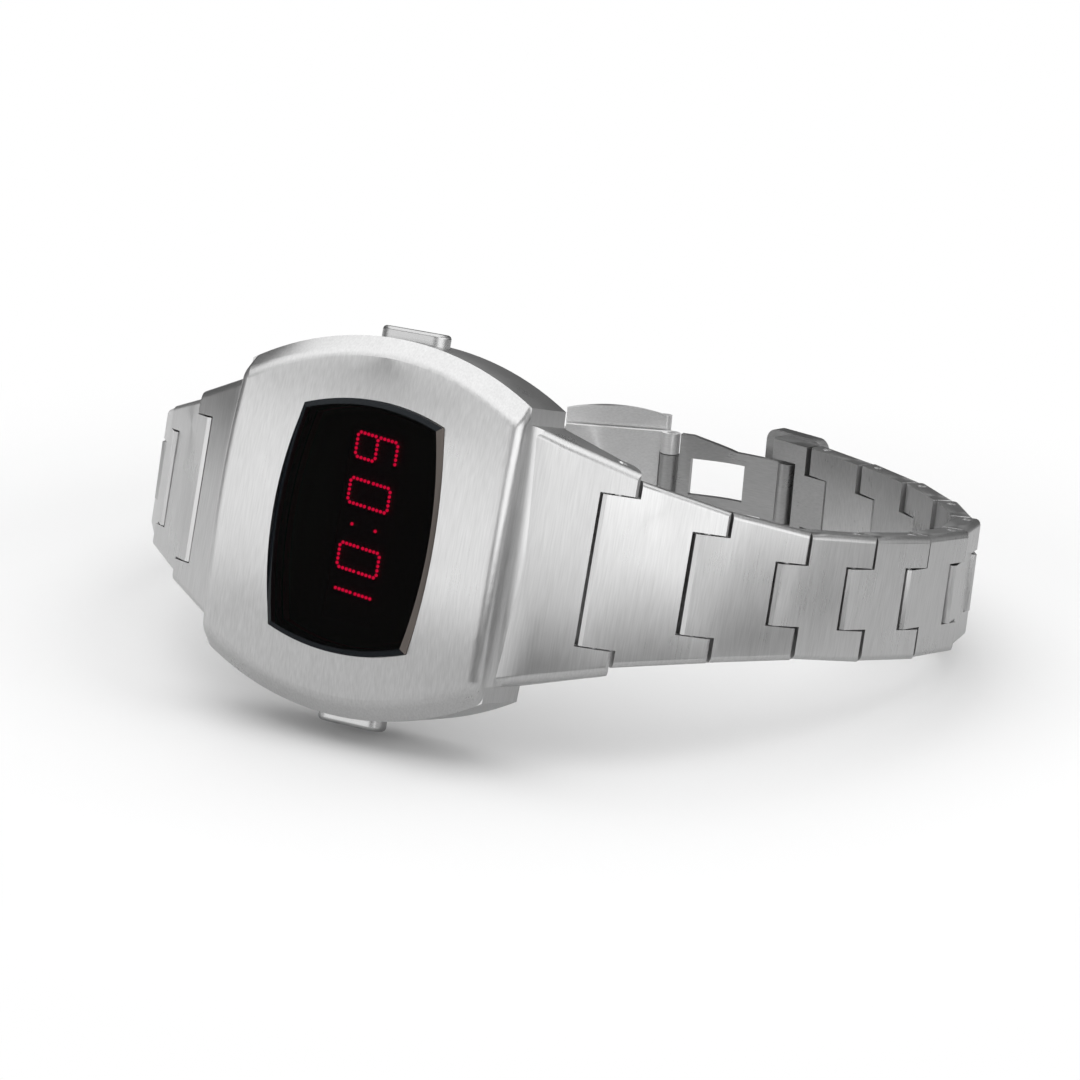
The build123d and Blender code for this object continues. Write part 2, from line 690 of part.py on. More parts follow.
def battery():
    """Button cell between the board and the back, with its stepped rim."""
    end = BACK_SEAT_DEPTH - BATTERY_GAP
    cell = rod(BATTERY_RADIUS, end - BATTERY_HEIGHT, end)
    step = rod(BATTERY_RADIUS + OVERRUN, end - BATTERY_HEIGHT - OVERRUN,
               end - BATTERY_HEIGHT + BATTERY_RIM_DEPTH)
    step -= rod(BATTERY_RADIUS - BATTERY_RIM_WIDTH, end - BATTERY_HEIGHT - OVERRUN * 2,
                end - BATTERY_HEIGHT + BATTERY_RIM_DEPTH + OVERRUN)
    return cell - step


def case_back():
    """Screwed back, bevelled round its rim, with countersunk screw seats."""
    start = BACK_SEAT_DEPTH + BACK_RIM_GAP
    end = start + BACK_THICKNESS
    plate = cushion_block(shrunk(CASE_SIZES, BACK_INSET), start, end)
    rear = plate.faces().sort_by(Axis.Y)[-1]
    plate = chamfer(rear.edges(), BACK_BEVEL)
    plate -= back_gasket_ring(BACK_GASKET_THICKNESS)
    for x, z in screw_places():
        plate -= rod(SCREW_RADIUS + SCREW_GAP, start - OVERRUN, end + OVERRUN, x, z)
        plate -= rod(SCREW_HEAD_RADIUS + SCREW_GAP, end - SCREW_HEAD_HEIGHT, end + OVERRUN, x, z)
    return plate


def screw_places():
    """Centres of the four case back screws."""
    return [(x, z) for x in (SCREW_X, -SCREW_X) for z in (SCREW_Z, -SCREW_Z)]


def back_gasket_ring(thickness):
    """Ring that sits in the back's groove, just outside the cavity."""
    start = BACK_SEAT_DEPTH + BACK_RIM_GAP
    length = (CAVITY_HALF_LENGTH + BACK_GASKET_INSET) * 2
    width = (CAVITY_HALF_WIDTH + BACK_GASKET_INSET) * 2
    outer = rounded_block(length + BACK_GASKET_WIDTH * 2, width + BACK_GASKET_WIDTH * 2,
                          CAVITY_CORNER + BACK_GASKET_WIDTH, start, start + thickness)
    inner = rounded_block(length, width, CAVITY_CORNER, start - OVERRUN,
                          start + thickness + OVERRUN)
    return outer - inner


def back_screws():
    """Four slotted screws that hold the back."""
    end = BACK_SEAT_DEPTH + BACK_RIM_GAP + BACK_THICKNESS
    screws = []
    for x, z in screw_places():
        screw = rod(SCREW_HEAD_RADIUS, end - SCREW_HEAD_HEIGHT, end, x, z)
        screw += rod(SCREW_RADIUS, WALL_END_DEPTH - SCREW_LENGTH + SCREW_HOLE_SPARE, end, x, z)
        screw -= box_between(
            (x - SCREW_HEAD_RADIUS * 2, end - SCREW_SLOT_DEPTH, z - SCREW_SLOT_WIDTH / 2),
            (x + SCREW_HEAD_RADIUS * 2, end + OVERRUN, z + SCREW_SLOT_WIDTH / 2))
        screws.append(screw)
    return Compound(screws)


def barrel(x, half_start, half_end):
    """Round knuckle along the piece's own Y between two offsets."""
    return Pos(x, (half_start + half_end) / 2, 0) * Rot(90, 0, 0) * Cylinder(
        BARREL_RADIUS, half_end - half_start)


def end_piece():
    """Last piece of the six o'clock strap: tongue, two ears for the blade, end cover."""
    solid_end = END_PIECE_LENGTH * END_SOLID_SHARE
    ear_half = BLADE_HALF_WIDTH + OPEN_BARREL_SIDE_GAP
    plan = plan_block([
        (-EAR_REACH, TONGUE_HALF_WIDTH),
        (NOTCH_REACH, TONGUE_HALF_WIDTH),
        (NOTCH_REACH, STRAP_HALF_WIDTH),
        (END_PIECE_LENGTH + EAR_REACH, STRAP_HALF_WIDTH),
        (END_PIECE_LENGTH + EAR_REACH, ear_half),
        (solid_end, ear_half),
    ])
    solid = plan & slab_from_side(0, END_PIECE_LENGTH, STRAP_HALF_WIDTH + OVERRUN)
    cover_length = END_COVER_REACH + END_PIECE_LENGTH - NOTCH_REACH
    cover = extrude(
        RectangleRounded(cover_length, END_COVER_HALF_WIDTH * 2, END_COVER_CORNER),
        amount=END_COVER_THICKNESS)
    cover = Pos(NOTCH_REACH + cover_length / 2, 0, BARREL_RADIUS + END_COVER_LIFT) * cover
    solid += cover
    solid -= bore_across(PIN_RADIUS + PIN_TONGUE_GAP, 0, STRAP_HALF_WIDTH)
    solid -= bore_across(CLASP_PIN_RADIUS + CLASP_PIN_GAP, END_PIECE_LENGTH, STRAP_HALF_WIDTH - PIN_INSET)
    return solid


def blade():
    """Folding blade from its hinge on the base plate at X 0 to the spring bar."""
    bends = [
        (BLADE_LENGTH * along, LEAF_LIFT + BLADE_SWING * up)
        for along, up in BLADE_CURVE_SHARES
    ]
    curve = Spline((0, LEAF_LIFT), *bends, (BLADE_LENGTH, 0))
    half = Vector(0, BLADE_THICKNESS / 2, 0)
    stations = [curve.position_at(step / BLADE_CURVE_STEPS) for step in range(BLADE_CURVE_STEPS + 1)]
    upper = [station + half for station in stations]
    lower = [station - half for station in stations]
    side = make_face([
        Spline(*upper),
        Line(upper[-1], lower[-1]),
        Spline(*reversed(lower)),
        Line(lower[0], upper[0]),
    ])
    slab = Pos(0, BLADE_WIDE_HALF_WIDTH, 0) * extrude(Plane.XZ * side,
                                                      amount=BLADE_WIDE_HALF_WIDTH * 2)
    neck = BASE_KNUCKLE_HALF_WIDTH
    plan = plan_block([
        (0, neck),
        (BARREL_RADIUS + BARREL_SIDE_GAP, neck),
        (BARREL_RADIUS + BARREL_SIDE_GAP, BLADE_WIDE_HALF_WIDTH),
        (BLADE_WINDOW_START, BLADE_WIDE_HALF_WIDTH),
        (BLADE_LENGTH * BLADE_NARROW_SHARE, BLADE_HALF_WIDTH),
        (BLADE_LENGTH, BLADE_HALF_WIDTH),
    ])
    solid = slab & plan
    solid += barrel(0, -neck, neck)
    solid += barrel(BLADE_LENGTH, -BLADE_HALF_WIDTH, BLADE_HALF_WIDTH)
    solid -= box_between(
        (BLADE_WINDOW_START, -BLADE_WINDOW_HALF_WIDTH, -LINK_THICKNESS),
        (BLADE_WINDOW_START + BLADE_WINDOW_LENGTH, BLADE_WINDOW_HALF_WIDTH, LINK_THICKNESS))
    for x in (0, BLADE_LENGTH):
        solid -= bore_across(CLASP_PIN_RADIUS + CLASP_PIN_GAP, x, BLADE_WIDE_HALF_WIDTH * 2)
    return solid


def base_plate():
    """Clasp base from its hinge on the strap at X 0 to the blade's hinge."""
    low = LEAF_LIFT - BASE_THICKNESS / 2
    knuckle_in = BASE_KNUCKLE_HALF_WIDTH + BARREL_SIDE_GAP
    slab = box_between((0, -BASE_HALF_WIDTH, low),
                       (BASE_LENGTH, BASE_HALF_WIDTH, low + BASE_THICKNESS))
    plan = plan_block([
        (0, BASE_TONGUE_HALF_WIDTH),
        (EAR_REACH + SEAM_GAP * 2, BASE_TONGUE_HALF_WIDTH),
        (EAR_REACH + SEAM_GAP * 2, BASE_HALF_WIDTH),
        (BASE_LENGTH, BASE_HALF_WIDTH),
        (BASE_LENGTH, knuckle_in),
        (BASE_LENGTH - BARREL_RADIUS - BARREL_SIDE_GAP, knuckle_in),
    ])
    solid = slab & plan
    solid += barrel(0, -BASE_TONGUE_HALF_WIDTH, BASE_TONGUE_HALF_WIDTH)
    for side in (1, -1):
        solid += barrel(BASE_LENGTH, *sorted((side * knuckle_in, side * BASE_HALF_WIDTH)))
    solid -= bore_across(PIN_RADIUS + PIN_TONGUE_GAP, 0, BASE_HALF_WIDTH)
    solid -= bore_across(CLASP_PIN_RADIUS + PIN_EAR_GAP, BASE_LENGTH, BASE_HALF_WIDTH + OVERRUN)
    solid -= Pos(BASE_LENGTH - STUD_FROM_BLADE, 0, 0) * Cylinder(
        STUD_SHANK_RADIUS + STUD_GAP, LINK_THICKNESS)
    return solid


def stud():
    """Domed stud riveted through the base plate, its head on the wrist side."""
    low = LEAF_LIFT - BASE_THICKNESS / 2
    x = BASE_LENGTH - STUD_FROM_BLADE
    head = Pos(x, 0, low - STUD_HEIGHT / 2) * Cylinder(STUD_RADIUS, STUD_HEIGHT)
    head = fillet(head.edges().sort_by(Axis.Z)[0], STUD_HEIGHT / 2)
    shank = Pos(x, 0, LEAF_LIFT) * Cylinder(STUD_SHANK_RADIUS, BASE_THICKNESS)
    return head + shank


def clasp_cover():
    """Fold-over cover on the outer side of the base plate, lip at its free end."""
    length = CLASP_COVER_LENGTH
    start = EAR_REACH + SEAM_GAP * 2
    low = BARREL_RADIUS + CLASP_COVER_LIFT
    half = CLASP_COVER_HALF_WIDTH
    wide = half + CLASP_COVER_BULGE
    widest = start + (length - start) * CLASP_COVER_WIDEST_SHARE
    outline = [
        Line((start, -half), (start, half)),
        ThreePointArc((start, half), (widest, wide), (length, half)),
        Line((length, half), (length, -half)),
        ThreePointArc((length, -half), (widest, -wide), (start, -half)),
    ]
    plate = extrude(Pos(0, 0, low) * make_face(outline), amount=CLASP_COVER_THICKNESS)
    lip = Pos(length, 0, low + CLASP_COVER_LIP_RADIUS) * Rot(90, 0, 0) * Cylinder(
        CLASP_COVER_LIP_RADIUS, half * 2)
    plate = plate + lip
    inner = BASE_TONGUE_HALF_WIDTH + BARREL_SIDE_GAP
    top = low + CLASP_COVER_THICKNESS
    over_base = LEAF_LIFT + BASE_THICKNESS / 2 + CLASP_COVER_LIFT / 2
    slope = box_between((-OVERRUN, -half, BARREL_RADIUS), (BARREL_RADIUS, half, top + OVERRUN))
    for side in (1, -1):
        near, far = sorted((side * inner, side * (inner + CLASP_COVER_LUG_WIDTH)))
        web = box_between((0, near, over_base), (start + OVERRUN, far, top))
        web += box_between((0, near, 0), (start - SEAM_GAP, far, top))
        plate = plate + barrel(0, near, far) + (web - slope)
    plate -= bore_across(PIN_RADIUS + PIN_TONGUE_GAP, 0, half)
    return plate


def bracelet():
    """All links, pins and clasp pieces in place, by node name."""
    nodes = {}
    shoulder_pin = pin(PIN_RADIUS, SHOULDER_END_HALF_WIDTH - PIN_INSET * 2, PIN_END_CHAMFER)
    right_planes = strap_planes(RIGHT_BEND_ANGLES, RIGHT_TILT)
    left_planes = [across_case(plane) for plane in strap_planes(*closed_strap())]
    for name, planes in (("six", right_planes), ("twelve", left_planes)):
        nodes[f"{name}_oclock_pin_01"] = placed(shoulder_pin, planes[0])
        rows = strap_widths(len(planes) - 1)
        for index, (row, plane) in enumerate(zip(rows, planes[1:]), start=1):
            pitch, half_start, half_end, tongue, notch = row
            if index == 1:
                half_start = half_start - (half_start - half_end) * NOTCH_REACH / pitch
            if name == "twelve" and index == len(planes) - 1:
                notch = BASE_HALF_WIDTH
            nodes[f"{name}_oclock_link_{index:02d}"] = placed(
                link(pitch, half_start, half_end, tongue, notch), plane)
            nodes[f"{name}_oclock_pin_{index + 1:02d}"] = placed(
                pin(PIN_RADIUS, half_end - PIN_INSET, PIN_END_CHAMFER),
                moved_along(plane, pitch))
    end_plane, blade_plane, base_plane = clasp_planes(base_tilt(*closed_strap()))
    nodes["clasp_end_piece"] = placed(end_piece(), end_plane)
    nodes["clasp_blade"] = placed(blade(), blade_plane)
    nodes["clasp_spring_bar"] = placed(
        pin(CLASP_PIN_RADIUS, BLADE_HALF_WIDTH - PIN_EAR_GAP, PIN_END_CHAMFER),
        moved_along(blade_plane, BLADE_LENGTH))
    nodes["clasp_base_plate"] = placed(base_plate(), base_plane)
    nodes["clasp_stud"] = placed(stud(), base_plane)
    nodes["clasp_cover"] = placed(clasp_cover(), base_plane)
    nodes["clasp_blade_pin"] = placed(
        pin(CLASP_PIN_RADIUS, BASE_HALF_WIDTH - PIN_INSET, PIN_END_CHAMFER),
        moved_along(base_plane, BASE_LENGTH))
    return nodes


def base_tilt(bends, tilt):
    """Tilt of the clasp base, the same as that of the link it hinges on."""
    return running_tilts(len(bends), tilt)[-1]


def clasp_planes(leaf_tilt):
    """Planes of the end piece, the blade and the base plate, each from its own hinge."""
    last = strap_planes(RIGHT_BEND_ANGLES, RIGHT_TILT)[-1]
    end_tilt = running_tilts(len(RIGHT_BEND_ANGLES), RIGHT_TILT)[-1]
    heading = running_headings(RIGHT_BEND_ANGLES)[-1] + END_PIECE_BEND_ANGLE
    end_plane = hinge_plane(moved_along(last, PITCH).origin, heading, end_tilt)
    place = moved_along(end_plane, END_PIECE_LENGTH).origin
    leaves = []
    rows = (
        (BLADE_HEADING, BLADE_LENGTH, BLADE_TILT),
        (BASE_HEADING, BASE_LENGTH, leaf_tilt),
    )
    for leaf_heading, length, tilt in rows:
        outward_run = hinge_plane(place, leaf_heading, tilt)
        place = moved_along(outward_run, length).origin
        leaves.append(Plane(origin=place, x_dir=-outward_run.x_dir, z_dir=outward_run.z_dir))
    return [end_plane] + leaves


def changed_strap(change):
    """Bends and tilt of the twelve o'clock strap, opened evenly, unevenly and sideways."""
    even, uneven, sideways = change
    free = len(LEFT_BEND_ANGLES) - SET_BEND_COUNT - 1
    bends = list(LEFT_BEND_ANGLES[:SET_BEND_COUNT])
    for index, bend in enumerate(LEFT_BEND_ANGLES[SET_BEND_COUNT:]):
        bends.append(bend + even + uneven * (index / free - PARTLY_SHARE))
    return bends, LEFT_TILT + sideways


def strap_miss(change):
    """From the clasp base's own hinge to the last pin of the twelve o'clock strap."""
    bends, tilt = changed_strap(change)
    last = across_case(strap_planes(bends, tilt)[-1])
    base = clasp_planes(base_tilt(bends, tilt))[-1]
    return moved_along(last, PITCH).origin - base.origin


def closed_strap():
    """Bends and tilt that bring the twelve o'clock strap exactly to the clasp."""
    change = [0, 0, 0]
    for _ in range(CLOSING_STEPS):
        miss = strap_miss(change)
        slopes = []
        for index in range(len(change)):
            nudged = list(change)
            nudged[index] += CLOSING_NUDGE_ANGLE
            slopes.append((strap_miss(nudged) - miss) * (1 / CLOSING_NUDGE_ANGLE))
        whole = slopes[0].dot(slopes[1].cross(slopes[2]))
        for index in range(len(change)):
            columns = list(slopes)
            columns[index] = miss
            change[index] -= columns[0].dot(columns[1].cross(columns[2])) / whole
    return changed_strap(change)


def watch_head():
    """Case, display, power and pushers, by node name."""
    nodes = {
        "case_body": case_body(),
        "crystal": crystal(),
        "crystal_gasket": crystal_gasket(),
        "led_display_module": led_module(),
        "circuit_board": circuit_board(),
        "battery": battery(),
        "case_back": case_back(),
        "case_back_gasket": back_gasket_ring(BACK_GASKET_THICKNESS - BACK_RIM_GAP),
        "case_back_screws": back_screws(),
    }
    for name, side in (("three", 1), ("nine", -1)):
        nodes[f"pusher_{name}_oclock"] = pushed_away(pusher(), side)
    for name, shape in (("pusher_seals", stem_seal()), ("pusher_contacts", contact_spring())):
        nodes[name] = Compound([pushed_away(shape, side) for side in (1, -1)])
    return nodes


def rest_angle():
    """Lean that brings the lower pusher and the bracelet's lower edge to one plane."""
    pivot_depth = PUSHER_DEPTH + PUSHER_WIDTH / 2 - PUSHER_CORNER
    angles = []
    for plane in strap_planes(RIGHT_BEND_ANGLES, RIGHT_TILT) + strap_planes(*closed_strap()):
        for side in (1, -1):
            edge = plane.origin + plane.z_dir * (side * HALF_THICKNESS)
            low = edge - plane.y_dir * STRAP_HALF_WIDTH
            if low.Y > CASE_HALF_WIDTH:
                angles.append(math.degrees(math.atan2(low.Z + REST_LOW_CASE_Z,
                                                      low.Y - pivot_depth)))
    return min(angles)


def main():
    nodes = watch_head()
    nodes.update(bracelet())
    lean = Rot(-rest_angle(), 0, 0)
    leaned = {name: lean * shape for name, shape in nodes.items()}
    box = Compound(list(leaned.values())).bounding_box()
    to_origin = Pos(-(box.min.X + box.max.X) / 2, -(box.min.Y + box.max.Y) / 2, -box.min.Z)
    os.makedirs("parts", exist_ok=True)
    for name, shape in leaned.items():
        export_step(to_origin * shape, f"parts/{name}.step")


main()
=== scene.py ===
"""Looks for the LED wristwatch: brushed steel, dark crystal, red dot digits, white studio."""

import json
import math

import bpy
from mathutils import Matrix, Vector


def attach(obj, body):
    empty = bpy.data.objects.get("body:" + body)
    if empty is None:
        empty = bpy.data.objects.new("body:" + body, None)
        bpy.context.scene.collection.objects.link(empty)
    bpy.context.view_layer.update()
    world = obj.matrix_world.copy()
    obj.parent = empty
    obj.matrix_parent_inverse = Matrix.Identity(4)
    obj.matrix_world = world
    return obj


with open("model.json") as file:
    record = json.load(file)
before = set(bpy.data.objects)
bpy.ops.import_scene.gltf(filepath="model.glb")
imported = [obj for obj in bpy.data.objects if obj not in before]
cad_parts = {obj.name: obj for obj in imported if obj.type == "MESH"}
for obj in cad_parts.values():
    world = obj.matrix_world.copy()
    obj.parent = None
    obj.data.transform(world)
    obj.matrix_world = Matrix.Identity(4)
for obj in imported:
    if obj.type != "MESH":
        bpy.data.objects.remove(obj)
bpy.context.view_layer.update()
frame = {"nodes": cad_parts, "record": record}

MM = 0.001

# The case frame inside the row frame, read from the back's mount
FACE_TO_MOUNT = 13.15 * MM
BACKWARD = Vector(frame["record"]["mounts"][0]["axis"])
FACE_CENTRE = Vector(frame["record"]["mounts"][0]["pos_m"]) - BACKWARD * FACE_TO_MOUNT
ALONG = Vector((1, 0, 0))
ACROSS = ALONG.cross(BACKWARD)
LEAN = math.atan2(ACROSS.y, ACROSS.z)

# Camera, in the case frame
VIEW_AZIMUTH = math.radians(25.0)
VIEW_ELEVATION = math.radians(3.627)
VIEW_ROLL = math.radians(9.705)
VIEW_DISTANCE = 360.0 * MM
PIXELS_PER_MM = 9.461
IMAGE_WIDTH = 1080
FACE_PIXEL_X = 352.31
FACE_PIXEL_Y = 527.16
SENSOR_WIDTH = 36.0

# Red dot digits, seen with the watch turned upright
DIGIT_CENTRES = (-8.42 * MM, -3.5 * MM, 3.5 * MM, 8.42 * MM)
DIGIT_TEXT = "1009"
DIGIT_HALF_HEIGHT = 2.45 * MM
DIGIT_HALF_WIDTH = 1.32 * MM
DIGIT_SLANT = 0.1
DOT_RADIUS = 0.185 * MM
DOT_DEPTH = 2.5 * MM
DOT_THICKNESS = 0.04 * MM
DOT_SIDES = 12
DOT_RIM = 0.05 * MM
DOT_RISE = 0.03 * MM
DOTS_PER_LONG_SEGMENT = 5
DOTS_PER_SHORT_SEGMENT = 5
LONG_SEGMENT_START = 0.31 * MM
LONG_SEGMENT_CUT = 0.3 * MM
SHORT_SEGMENT_CUT = 0.36 * MM
COLON_HALF_HEIGHT = 1.45 * MM

# Segments: a is the top, b to f follow it clockwise, g is the middle
SEGMENTS_OF_DIGIT = {
    "0": "abcdef",
    "1": "bc",
    "9": "abcdfg",
}

# Brushing across the strap, along it and even: marks per metre on case X, Y and Z
GRAIN_TURN = (-LEAN, 0, 0)
GRAIN_ACROSS = (5600, 5600, 340)
GRAIN_ALONG = (330, 6000, 6000)
EVEN_GRAIN = (5000, 5000, 5000)
BRUSH_DEPTH = 0.001 * MM
SATIN_DEPTH = 0.0008 * MM
BRUSH_STRETCH = 0.65
BROAD_GRAIN_RATIO = 7
BROAD_GRAIN_SHARE = 0.25
CLOUDS_PER_METRE = 160.0
CLOUD_SHARE = 0.1
DARKEST_STEEL = 0.7
LIGHTEST_STEEL = 1.3
ROUGHNESS_SPREAD = 0.14

# Steels: a crown is how far a face falls away, per metre, for the distance across it squared
STEELS = {
    "case steel": {
        "tone": 0.58, "roughness": 0.31, "grain": GRAIN_ACROSS, "streak": 0.5,
        "depth": BRUSH_DEPTH, "crown": 1.0, "shoulder_crown": 5.0},
    "link steel": {
        "tone": 0.58, "roughness": 0.3, "grain": GRAIN_ACROSS, "streak": 0.5,
        "depth": BRUSH_DEPTH, "crown": 4.0},
    # The clasp plates' tone is painted light, lighter than the other steel; their grain and
    # roughness are their own
    "clasp plate steel painted light": {
        "tone": 0.8, "roughness": 0.42, "grain": GRAIN_ALONG, "streak": 0.4,
        "depth": SATIN_DEPTH},
    # The rest of the clasp has its tone painted darker than the other steel, as painted shade
    "clasp steel": {
        "tone": 0.42, "roughness": 0.3, "grain": GRAIN_ALONG, "streak": 0.5,
        "depth": SATIN_DEPTH},
    "pusher steel": {
        "tone": 0.5, "roughness": 0.26, "grain": GRAIN_ALONG, "streak": 0.5,
        "depth": SATIN_DEPTH},
    "pin steel": {
        "tone": 0.5, "roughness": 0.25, "grain": EVEN_GRAIN, "streak": 0.5,
        "depth": SATIN_DEPTH},
}
SHOULDER_START = 17.6 * MM
SHOULDER_FULL = 20.5 * MM

# Crystal, its bevel and the dots behind it
FILTER_RED = (0.4, 0.04, 0.12, 1)
FILTER_REFRACTION = 1.4
# The bevel's colour is a painted reflection: painted dark, with a painted sheen where it faces six
# o'clock
BEVEL_PAINTED_SHADE = (0.006, 0.01, 0.014, 1)
BEVEL_PAINTED_SHEEN = (0.19, 0.165, 0.15, 1)
BEVEL_FACING = (0.8, 0.97)
SIX_OCLOCK_PAINTED_SHEEN = (0.15, 0.45)
BEVEL_CLOUDS_PER_METRE = 700.0
GLOSS_SHARE = 0.08
GLOSS_ROUGHNESS = 0.02
UNLIT_RED = (0.05, 0, 0, 1)
LIT_GLOW = ((1.0, 0.12, 0.6, 1), (1.0, 0.16, 0.68, 1))
LIT_STRENGTH = 3.3
LIT_CLOUDS_PER_METRE = 400.0

# Pieces inside the case
PLAIN_CLOUDS_PER_METRE = 900.0
PLAIN_ROUGHNESS_SPREAD = 0.2

# Softboxes as place, target, width, height and brightness, in metres
SOFTBOXES = {
    "overhead_softbox": ((-0.15, 0.0, 0.75), (-0.15, 0, 0), 1.4, 1.4, 1.32),
    "left_front_softbox": ((-0.25, -0.63, 0.18), (0, 0, 0.02), 0.8, 0.4, 1.05),
    "right_front_softbox": ((0.58, -0.17, 0.225), (0, 0, 0.02), 0.8, 0.4, 1.25),
}

# Directions of the row frame
LEFTWARD = (-1, 0, 0)
RIGHTWARD = (1, 0, 0)
AWAY = (0, 1, 0)
FRONT_RIGHT = (0.68, -0.73, 0)

# Surroundings: a tint, and from where to where along its direction it sets in
STUDIO_SHADE = 0.36
STUDIO_DARKER_BEHIND = 0.2
STUDIO_BEHIND = (-0.5, 0.6)
STUDIO_PALER_RIGHT = 0.35
STUDIO_RIGHT = (0.1, 0.8)

# Floor: the same, in metres. What the steel mirrors of it carries painted light at the left and
# painted shade behind and at the near right
FLOOR_SIZE = 2.4
FLOOR_FADE = (0.07, 0.125)
FLOOR_SEEN = 0.92
FLOOR_MIRRORED = 0.62
FLOOR_PAINTED_LIGHT_LEFT = 0.15
FLOOR_LEFT = (-0.02, 0.08)
FLOOR_PAINTED_SHADE_FRONT_RIGHT = 0.5
FLOOR_FRONT_RIGHT = (0.06, 0.12)
FLOOR_FAR_RIGHT = (0.12, 0.24)
FLOOR_PAINTED_SHADE_BEHIND = 0.45
FLOOR_BEHIND = (0.07, 0.17)
WHITE = (1, 1, 1, 1)

# First socket, second socket and output of a Mix node of each kind
MIX_SOCKETS = {"RGBA": (6, 7, 2), "VECTOR": (4, 5, 1)}


def case_point(x, y, z):
    """Point of the case frame, in metres, taken to the row frame."""
    return FACE_CENTRE + ALONG * x + BACKWARD * y + ACROSS * z


class Value:
    """Shader socket that can be added and multiplied like a number."""

    def __init__(self, finish, socket):
        self.finish = finish
        self.socket = socket

    def _math(self, operation, first, second):
        return self.finish.node("ShaderNodeMath", {"operation": operation}, (first, second))

    def __add__(self, other):
        return self._math("ADD", self, other)

    __radd__ = __add__

    def __mul__(self, other):
        return self._math("MULTIPLY", self, other)

    __rmul__ = __mul__

    def __sub__(self, other):
        return self._math("SUBTRACT", self, other)

    def __rsub__(self, other):
        return self._math("SUBTRACT", other, self)

    def clipped(self):
        """The value held between 0 and 1."""
        return self.finish.node("ShaderNodeClamp", {}, (self,))

    def between(self, low, high):
        """Smooth step from 0 at low to 1 at high."""
        settings = {"interpolation_type": "SMOOTHSTEP"}
        return self.finish.node("ShaderNodeMapRange", settings,
                                {"Value": self, "From Min": low, "From Max": high})


class Finish:
    """Nodes of a material or of the world, under construction."""

    def __init__(self, name, tree=None):
        if tree is None:
            self.material = bpy.data.materials.new(name)
            self.material.use_nodes = True
            tree = self.material.node_tree
        self.tree = tree
        self.tree.nodes.clear()

    def node(self, kind, settings=None, inputs=(), output=0):
        """Add a node, set it up, feed its sockets and return one of its outputs."""
        made = self.tree.nodes.new(kind)
        for key, value in (settings or {}).items():
            setattr(made, key, value)
        pairs = inputs.items() if isinstance(inputs, dict) else enumerate(inputs)
        for key, value in pairs:
            if isinstance(value, Value):
                self.tree.links.new(value.socket, made.inputs[key])
            elif value is not None:
                made.inputs[key].default_value = value
        return Value(self, made.outputs[output]) if len(made.outputs) else None

    def mixed(self, share, first, second, kind="RGBA"):
        """Blend of two colours, or of two vectors."""
        first_socket, second_socket, output = MIX_SOCKETS[kind]
        return self.node("ShaderNodeMix", {"data_type": kind}, {
            "Factor": share, first_socket: first, second_socket: second}, output)

    def where(self):
        """Object coordinates, in metres."""
        return self.node("ShaderNodeTexCoord", {}, (), "Object")

    def grained(self, marks):
        """Object coordinates turned with the case and stretched into marks per metre."""
        return self.node("ShaderNodeMapping", {"vector_type": "TEXTURE"}, {
            "Vector": self.where(), "Rotation": GRAIN_TURN,
            "Scale": tuple(1 / mark for mark in marks)})

    def along(self, vector, direction):
        """How far a vector reaches in a direction."""
        return self.node("ShaderNodeVectorMath", {"operation": "DOT_PRODUCT"},
                         (vector, tuple(direction)), "Value")

    def from_face_centre(self, direction):
        """Distance from the middle of the face, measured along a direction, in metres."""
        return self.along(self.where(), direction) - FACE_CENTRE.dot(direction)

    def noise(self, where, scale, detail=2):
        """Smooth noise between 0 and 1."""
        return self.node("ShaderNodeTexNoise", {}, {
            "Vector": where, "Scale": scale, "Detail": detail, "Roughness": 0.5})

    def crowned(self, relief, crown):
        """Normal of a face with a relief, falling away across the strap."""
        across = self.from_face_centre(ACROSS)
        return self.node("ShaderNodeBump", {}, {
            "Strength": 1.0, "Distance": 1.0, "Height": relief - across * across * crown})

    def surface(self, shader):
        """Send a shader to the material's output."""
        self.node("ShaderNodeOutputMaterial", {}, {"Surface": shader})
        return self.material


def grey(tone):
    """Neutral colour."""
    return (tone, tone, tone, 1)


def brushed_steel(name, tone, roughness, grain, streak, depth, crown=0.0, shoulder_crown=None):
    """Steel brushed one way, its broad faces crowned a little across the strap."""
    finish = Finish(name)
    fine = finish.noise(finish.grained(grain), 1.0, 1)
    broad_grain = tuple(marks / BROAD_GRAIN_RATIO for marks in grain)
    broad = finish.noise(finish.grained(broad_grain), 1.0)
    cloud = finish.noise(finish.where(), CLOUDS_PER_METRE)
    brushing = (fine - 0.5) * streak + (broad - 0.5) * (streak * BROAD_GRAIN_SHARE)
    shade = (brushing + (cloud - 0.5) * CLOUD_SHARE + 0.5).clipped()
    normal = finish.crowned(fine * depth, crown)
    if shoulder_crown is not None:
        offset = finish.from_face_centre(ALONG)
        beyond = (offset * offset).between(SHOULDER_START ** 2, SHOULDER_FULL ** 2)
        on_shoulder = finish.crowned(fine * depth, shoulder_crown)
        normal = finish.mixed(beyond, normal, on_shoulder, "VECTOR")
    return finish.surface(finish.node("ShaderNodeBsdfPrincipled", {}, {
        "Base Color": finish.mixed(shade, grey(tone * DARKEST_STEEL), grey(tone * LIGHTEST_STEEL)),
        "Roughness": (brushing + cloud - 0.5) * ROUGHNESS_SPREAD + roughness,
        "Normal": normal,
        "Metallic": 1.0,
        "Anisotropic": BRUSH_STRETCH}))


